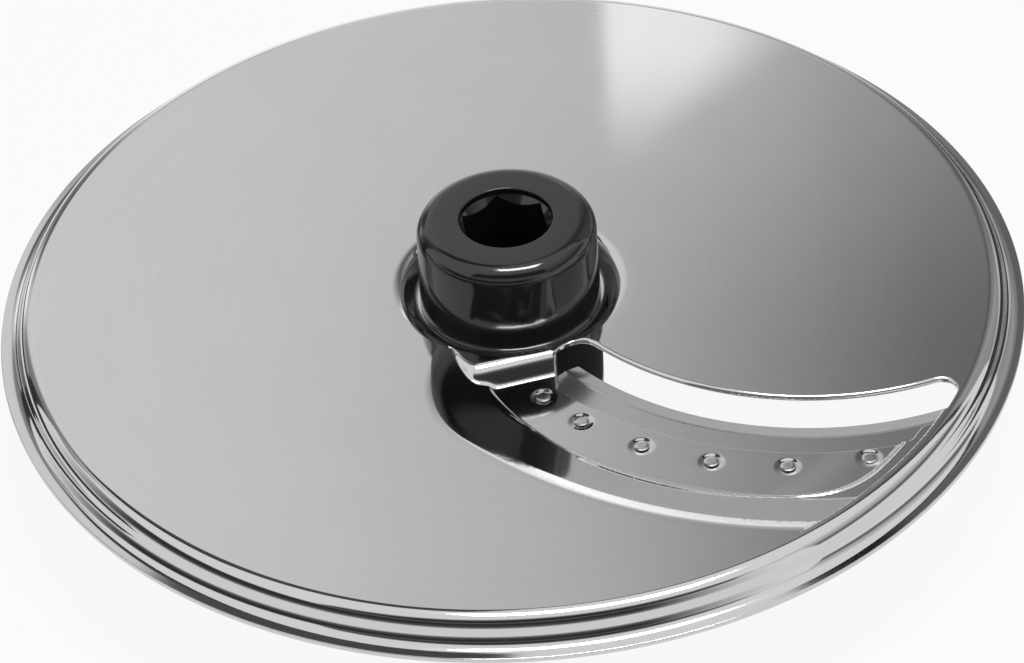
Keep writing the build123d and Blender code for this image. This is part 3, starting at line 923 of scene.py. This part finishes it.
def patterned(tree, pattern, code, rough, shade, span=(0.0, 1.0)):
    """Base colour and roughness that a pattern varies between two limits each."""
    given = {"Value": pattern, "From Min": span[0], "From Max": span[1]}
    roughness = add_node(tree, "ShaderNodeMapRange", {**given, "To Min": rough[0], "To Max": rough[1]})
    factor = add_node(tree, "ShaderNodeMapRange", {**given, "To Min": shade[0], "To Max": shade[1]})
    tone = add_node(
        tree, "ShaderNodeVectorMath", {0: linear(code)[:3], "Scale": factor.outputs[0]}, operation="SCALE"
    )
    return {"Base Color": tone.outputs[0], "Roughness": roughness.outputs[0]}


def plate_finish():
    """Circular-polished stainless sheet: a soft mirror whose reflections smear away from the axis."""
    material, tree = new_finish("Stainless sheet, circular polished")
    line_pitch = 0.45 * MM  # real lines are near 0.05 mm, too fine to show
    line_turn = 1.6  # cells of the pattern per radian, so that a line fades along its circle
    cloud_size = 14 * MM
    place = add_node(tree, "ShaderNodeTexCoord").outputs["Object"]
    flat = add_node(tree, "ShaderNodeVectorMath", {0: place, 1: (1, 1, 0)}, operation="MULTIPLY")
    radius = add_node(tree, "ShaderNodeVectorMath", {0: flat.outputs[0]}, operation="LENGTH")
    count = add_node(
        tree, "ShaderNodeMath", {0: radius.outputs["Value"], 1: 1 / line_pitch}, operation="MULTIPLY"
    )
    spoke = add_node(tree, "ShaderNodeVectorMath", {0: flat.outputs[0]}, operation="NORMALIZE")
    swing = add_node(
        tree, "ShaderNodeVectorMath", {0: spoke.outputs[0], "Scale": line_turn}, operation="SCALE"
    )
    across = add_node(tree, "ShaderNodeCombineXYZ", {2: count.outputs[0]})
    track = add_node(
        tree, "ShaderNodeVectorMath", {0: swing.outputs[0], 1: across.outputs[0]}, operation="ADD"
    )
    lines = add_node(tree, "ShaderNodeTexNoise", {"Vector": track.outputs[0], "Scale": 1.0, "Detail": 2.0})
    cloud = add_node(tree, "ShaderNodeTexNoise", {"Vector": place, "Scale": 1 / cloud_size, "Detail": 3.0})
    both = add_node(
        tree, "ShaderNodeMath", {0: lines.outputs["Fac"], 1: cloud.outputs["Fac"]}, operation="ADD"
    )
    code = sizes("finish_colours").plate
    look = patterned(tree, both.outputs[0], code, (0.06, 0.08), (0.985, 1.015), span=(0.7, 1.3))
    tangent = add_node(tree, "ShaderNodeTangent", direction_type="RADIAL", axis="Z")
    steel = add_node(tree, "ShaderNodeBsdfPrincipled", {
        **look, "Metallic": 1.0, "Anisotropic": 0.3, "Tangent": tangent.outputs[0],
    })
    add_node(tree, "ShaderNodeOutputMaterial", {"Surface": steel.outputs[0]})
    return material


def blade_finish():
    """Hardened blade steel, fine ground: brighter than the sheet, with faint grinding lines."""
    material, tree = new_finish("Blade steel, fine ground")
    line_pitch = 0.3 * MM  # real grinding lines are near 0.05 mm, too fine to show
    line_slant = math.radians(20)
    place = add_node(tree, "ShaderNodeTexCoord").outputs["Object"]
    stretched = add_node(tree, "ShaderNodeMapping", {
        "Vector": place,
        "Rotation": (0, 0, line_slant),
        "Scale": (1 / line_pitch, 0.04 / line_pitch, 1 / line_pitch),
    })
    lines = add_node(tree, "ShaderNodeTexNoise", {"Vector": stretched.outputs[0], "Scale": 1.0, "Detail": 2.0})
    code = sizes("finish_colours").blade
    look = patterned(tree, lines.outputs["Fac"], code, (0.15, 0.21), (0.96, 1.04))
    steel = add_node(tree, "ShaderNodeBsdfPrincipled", {**look, "Metallic": 1.0})
    add_node(tree, "ShaderNodeOutputMaterial", {"Surface": steel.outputs[0]})
    return material


def rivet_finish():
    """Bright rivet steel: smooth upset metal with slight tooling marks."""
    material, tree = new_finish("Rivet steel, bright upset")
    mark_size = 0.6 * MM
    place = add_node(tree, "ShaderNodeTexCoord").outputs["Object"]
    marks = add_node(tree, "ShaderNodeTexNoise", {"Vector": place, "Scale": 1 / mark_size, "Detail": 2.0})
    code = sizes("finish_colours").rivet
    look = patterned(tree, marks.outputs["Fac"], code, (0.12, 0.26), (0.92, 1.04))
    steel = add_node(tree, "ShaderNodeBsdfPrincipled", {**look, "Metallic": 1.0})
    add_node(tree, "ShaderNodeOutputMaterial", {"Surface": steel.outputs[0]})
    return material


def hub_finish():
    """Black ABS, gloss moulded: deep colour under a clear reflection, with a faint flow cloud."""
    material, tree = new_finish("ABS, gloss moulded")
    cloud_size, grain_size = 5 * MM, 0.25 * MM
    place = add_node(tree, "ShaderNodeTexCoord").outputs["Object"]
    cloud = add_node(tree, "ShaderNodeTexNoise", {"Vector": place, "Scale": 1 / cloud_size, "Detail": 3.0})
    grain = add_node(tree, "ShaderNodeTexNoise", {"Vector": place, "Scale": 1 / grain_size, "Detail": 1.0})
    code = sizes("finish_colours").hub
    look = patterned(tree, cloud.outputs["Fac"], code, (0.09, 0.13), (0.8, 1.2))
    bump = add_node(tree, "ShaderNodeBump", {
        "Height": grain.outputs["Fac"], "Strength": 0.04, "Distance": 0.05 * MM,
    })
    plastic = add_node(tree, "ShaderNodeBsdfPrincipled", {**look, "IOR": 1.58, "Normal": bump.outputs[0]})
    add_node(tree, "ShaderNodeOutputMaterial", {"Surface": plastic.outputs[0]})
    return material


# Studio


def flat_sheet(name, corners, material, faces=None):
    """Stage surface over its corners, as one face or as the given faces."""
    mesh = bpy.data.meshes.new(name)
    mesh.from_pydata(corners, [], faces or [range(len(corners))])
    mesh.materials.append(material)
    sheet = bpy.data.objects.new(name, mesh)
    bpy.context.scene.collection.objects.link(sheet)
    return sheet


def level_corners(low, high, z):
    """Corners of a level rectangle between two plan corners."""
    (x0, y0), (x1, y1) = low, high
    return [(x0, y0, z), (x1, y0, z), (x1, y1, z), (x0, y1, z)]


def seen_rays(tree):
    """Factor of the rays that show the backdrop: seen directly, in gloss or through glass."""
    path = add_node(tree, "ShaderNodeLightPath").outputs
    direct = add_node(
        tree, "ShaderNodeMath", {0: path["Is Camera Ray"], 1: path["Is Glossy Ray"]}, operation="MAXIMUM"
    )
    return add_node(
        tree, "ShaderNodeMath", {0: direct.outputs[0], 1: path["Is Transmission Ray"]}, operation="MAXIMUM"
    ).outputs[0]


def lay_floor():
    """Pale floor, mostly self-lit to the eye so that it is near white and still takes the disc's shadow."""
    material, tree = new_finish("Studio floor, matt paper")
    self_lit = 0.95
    reach = 3.0
    below_foot = -0.05 * MM
    tone = linear(sizes("finish_colours").floor)
    matt = add_node(tree, "ShaderNodeBsdfDiffuse", {"Color": tone})
    glow = add_node(tree, "ShaderNodeEmission", {"Color": tone, "Strength": 1.0})
    share = add_node(tree, "ShaderNodeMath", {0: seen_rays(tree), 1: self_lit}, operation="MULTIPLY")
    mix = add_node(tree, "ShaderNodeMixShader", {0: share.outputs[0], 1: matt.outputs[0], 2: glow.outputs[0]})
    add_node(tree, "ShaderNodeOutputMaterial", {"Surface": mix.outputs[0]})
    flat_sheet("floor", level_corners((-reach, -reach), (reach, reach), below_foot), material)


def graded(tree, value, stops, blend="B_SPLINE"):
    """Brightness that runs through stops of position and level."""
    low, high = stops[0][0], stops[-1][0]
    share = add_node(tree, "ShaderNodeMapRange", {"Value": value, "From Min": low, "From Max": high})
    ramp = add_node(tree, "ShaderNodeValToRGB", {0: share.outputs[0]})
    elements = ramp.color_ramp.elements
    ramp.color_ramp.interpolation = blend
    while len(elements) < len(stops):
        elements.new(0.5)
    for element, (place, level) in zip(elements, stops):
        element.position = (place - low) / (high - low)
        element.color = (level, level, level, 1)
    return ramp.outputs[0]


def eased(tree, value, start, end, low=0.0, high=1.0):
    """Smooth step between two positions."""
    return add_node(tree, "ShaderNodeMapRange", {
        "Value": value, "From Min": start, "From Max": end, "To Min": low, "To Max": high,
    }, interpolation_type="SMOOTHSTEP").outputs[0]


def back_level(tree, x, y, z):
    """Brightness of the card behind the disc: graded across and up, with a window's bright corner low on it."""
    mix = add_node(tree, "ShaderNodeMix", {
        0: eased(tree, z, 0.165, 0.28), 2: graded(tree, x, CARD_LOW), 3: graded(tree, x, CARD_HIGH),
    })
    level = add_node(tree, "ShaderNodeMath", {
        0: mix.outputs[0], 1: graded(tree, z, CARD_RISE, "LINEAR"),
    }, operation="MULTIPLY")
    strip = add_node(tree, "ShaderNodeMix", {
        0: eased(tree, z, 0.13, 0.17), 2: graded(tree, x, CARD_STRIP), 3: 1.0,
    })
    level = add_node(tree, "ShaderNodeMath", {0: level.outputs[0], 1: strip.outputs[0]}, operation="MULTIPLY")
    band = add_node(tree, "ShaderNodeMath", {
        0: eased(tree, x, -0.06, -0.03), 1: eased(tree, x, 0.09, 0.12, 1.0, 0.0),
    }, operation="MULTIPLY")
    level = add_node(tree, "ShaderNodeMath", {
        0: band.outputs[0], 1: graded(tree, z, CARD_BAND, "LINEAR"), 2: level.outputs[0],
    }, operation="MULTIPLY_ADD")
    reach = add_node(tree, "ShaderNodeMath", {0: x, 1: -0.026}, operation="ADD")
    width = eased(tree, z, 0.165, 0.21, 0.034, 0.004)
    share = add_node(tree, "ShaderNodeMath", {0: reach.outputs[0], 1: width}, operation="DIVIDE")
    patch = add_node(tree, "ShaderNodeMath", {
        0: eased(tree, x, 0.0235, 0.0275), 1: eased(tree, share.outputs[0], 0.6, 1.5, 0.58, 0.0),
    }, operation="MULTIPLY")
    return add_node(tree, "ShaderNodeMath", {
        0: patch.outputs[0], 1: graded(tree, z, PATCH_RISE, "LINEAR"), 2: level.outputs[0],
    }, operation="MULTIPLY_ADD").outputs[0]


def band_level(tree, x, y, z):
    """Brightness of the low band round the rim, which fades to white at both ends."""
    fade = add_node(tree, "ShaderNodeMath", {
        0: eased(tree, y, -0.06, 0.01), 1: eased(tree, x, 0.035, 0.09),
    }, operation="MAXIMUM")
    return add_node(tree, "ShaderNodeMix", {
        0: fade.outputs[0], 2: graded(tree, z, RIM_BAND_RISE), 3: 1.0,
    }).outputs[0]


def card_finish(name, level):
    """Self-lit card whose brightness is a function of the place on it."""
    material, tree = new_finish(name)
    place = add_node(tree, "ShaderNodeTexCoord").outputs["Object"]
    x, y, z = add_node(tree, "ShaderNodeSeparateXYZ", {0: place}).outputs
    glow = add_node(tree, "ShaderNodeEmission", {"Color": (1, 1, 1, 1), "Strength": level(tree, x, y, z)})
    add_node(tree, "ShaderNodeOutputMaterial", {"Surface": glow.outputs[0]})
    return material


def hang_card(name, corners, material, faces=None):
    """Reflection card kept out of every view and shadow, so that only glossy surfaces see it."""
    card = flat_sheet(name, corners, material, faces)
    card.visible_camera = False
    card.visible_diffuse = False
    card.visible_shadow = False
    card.visible_transmission = False


def hang_upright(name, line, stops, material):
    """Card that stands along a plan line, over the heights of its stops."""
    count = len(line)
    corners = [(x, y, z) for z in (stops[0][0], stops[-1][0]) for x, y in line]
    faces = [(i, i + 1, count + i + 1, count + i) for i in range(count - 1)]
    hang_card(name, corners, material, faces)


def hang_cards():
    """What the steel mirrors: a graded card behind the disc, dark flags round it and on the floor, one of them a
    painted shadow under the disc, and a rim band.
    """
    corners = [(x, BACK_CARD_Y, z) for x, z in BACK_CARD]
    hang_card("back_card", corners, card_finish("Graded card", back_level))
    for name, line, stops in UPRIGHT_FLAGS:
        material = card_finish(f"Dark flag, {name}", lambda tree, x, y, z: graded(tree, z, stops))
        hang_upright(f"{name}_flag", line, stops, material)
    line = polar((0, 0), RIM_BAND_RADIUS, np.radians(np.arange(*RIM_BAND_TURNS)))
    hang_upright("rim_band", line, RIM_BAND_RISE, card_finish("Dark band, round the rim", band_level))
    # One dark finish for the low flags; the one under the disc is painted shadow
    dark = card_finish("Dark flag, low, with painted shadow under the disc", lambda tree, x, y, z: LOW_FLAG_AND_PAINTED_SHADOW_LEVEL)
    for name, low, high in LOW_FLAGS:
        hang_card(f"{name}_flag", level_corners(low, high, LOW_FLAG_Z), dark)


def light_room():
    """Even room light and one soft overhead lamp."""
    world = bpy.data.worlds.new("Studio")
    bpy.context.scene.world = world
    world.use_nodes = True
    tree = world.node_tree
    tree.nodes.clear()
    room = add_node(tree, "ShaderNodeBackground", {"Color": (1, 1, 1, 1), "Strength": ROOM_LIGHT})
    white = add_node(tree, "ShaderNodeBackground", {"Color": (1, 1, 1, 1), "Strength": 1.0})
    mix = add_node(tree, "ShaderNodeMixShader", {0: seen_rays(tree), 1: room.outputs[0], 2: white.outputs[0]})
    add_node(tree, "ShaderNodeOutputWorld", {"Surface": mix.outputs[0]})
    lamp = bpy.data.lights.new("overhead", "AREA")
    lamp.shape = "RECTANGLE"
    lamp.size, lamp.size_y = LAMP_SIZE
    lamp.energy = LAMP_WATTS
    holder = bpy.data.objects.new("overhead", lamp)
    holder.location = LAMP_PLACE
    bpy.context.scene.collection.objects.link(holder)


def set_camera():
    """Long lens at the photograph's viewing angle, slightly rolled."""
    height = math.radians(CAMERA_HEIGHT)
    roll = math.radians(CAMERA_ROLL)
    back = Vector((0, -math.cos(height), math.sin(height)))
    right = Vector((1, 0, 0))
    up = Vector((0, math.sin(height), math.cos(height)))
    side = math.cos(roll) * right + math.sin(roll) * up
    rise = math.cos(roll) * up - math.sin(roll) * right
    camera = bpy.data.cameras.new("camera")
    camera.sensor_width = 36.0
    camera.lens = FOCAL_PIXELS * camera.sensor_width / PHOTO_WIDTH
    camera.shift_x = SHIFT_PIXELS[0] / PHOTO_WIDTH
    camera.shift_y = SHIFT_PIXELS[1] / PHOTO_WIDTH
    camera.clip_start = 0.01
    place = Vector(CAMERA_TARGET) + CAMERA_DISTANCE * back
    holder = bpy.data.objects.new("camera", camera)
    holder.matrix_world = Matrix.Translation(place) @ Matrix((side, rise, back)).transposed().to_4x4()
    bpy.context.scene.collection.objects.link(holder)
    bpy.context.scene.camera = holder
    bpy.context.scene.view_settings.view_transform = "Standard"


# Operators, panel and run


class DISC_OT_plate(bpy.types.Operator):
    """Press the disc plate with its rim, seat, blade pocket and slot"""

    bl_idname = "disc.plate"
    bl_label = "Disc plate"

    def execute(self, context):
        press_plate(plate_finish())
        return {"FINISHED"}


class DISC_OT_blade(bpy.types.Operator):
    """Grind the curved slicing blade"""

    bl_idname = "disc.blade"
    bl_label = "Slicing blade"

    def execute(self, context):
        grind_blade(blade_finish())
        return {"FINISHED"}


class DISC_OT_rivets(bpy.types.Operator):
    """Set the row of rivets that holds the blade"""

    bl_idname = "disc.rivets"
    bl_label = "Blade rivets"

    def execute(self, context):
        set_rivets(rivet_finish())
        return {"FINISHED"}


class DISC_OT_hub(bpy.types.Operator):
    """Mould the drive hub with its six-sided socket"""

    bl_idname = "disc.hub"
    bl_label = "Drive hub"

    def execute(self, context):
        mould_hub(hub_finish())
        return {"FINISHED"}


class DISC_OT_stage(bpy.types.Operator):
    """Set up the floor, the reflection cards, the light and the camera"""

    bl_idname = "disc.stage"
    bl_label = "Stage"

    def execute(self, context):
        lay_floor()
        hang_cards()
        light_room()
        set_camera()
        return {"FINISHED"}


OPERATORS = (DISC_OT_plate, DISC_OT_blade, DISC_OT_rivets, DISC_OT_hub, DISC_OT_stage)


class DISC_PT_panel(bpy.types.Panel):
    """Lists the disc's pieces and its stage"""

    bl_idname = "DISC_PT_panel"
    bl_label = "Slicing disc"
    bl_space_type = "VIEW_3D"
    bl_region_type = "UI"
    bl_category = "Slicing disc"

    def draw(self, context):
        for operator in OPERATORS:
            self.layout.operator(operator.bl_idname)
        for name, group in SIZE_GROUPS.items():
            box = self.layout.box()
            box.label(text=group.__doc__)
            for key in group.__annotations__:
                box.prop(getattr(context.scene, name), key)


def register():
    """Registers the size groups, the operators and the panel."""
    for name, group in SIZE_GROUPS.items():
        bpy.utils.register_class(group)
        setattr(bpy.types.Scene, name, bpy.props.PointerProperty(type=group))
    for kind in OPERATORS + (DISC_PT_panel,):
        bpy.utils.register_class(kind)


def unregister():
    """Takes the panel, the operators and the size groups out again."""
    for kind in (DISC_PT_panel,) + OPERATORS[::-1]:
        bpy.utils.unregister_class(kind)
    for name, group in SIZE_GROUPS.items():
        delattr(bpy.types.Scene, name)
        bpy.utils.unregister_class(group)


def main():
    """Builds every piece and the stage."""
    register()
    bpy.ops.disc.plate()
    bpy.ops.disc.blade()
    bpy.ops.disc.rivets()
    bpy.ops.disc.hub()
    bpy.ops.disc.stage()
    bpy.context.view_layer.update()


if __name__ == "__main__":
    main()
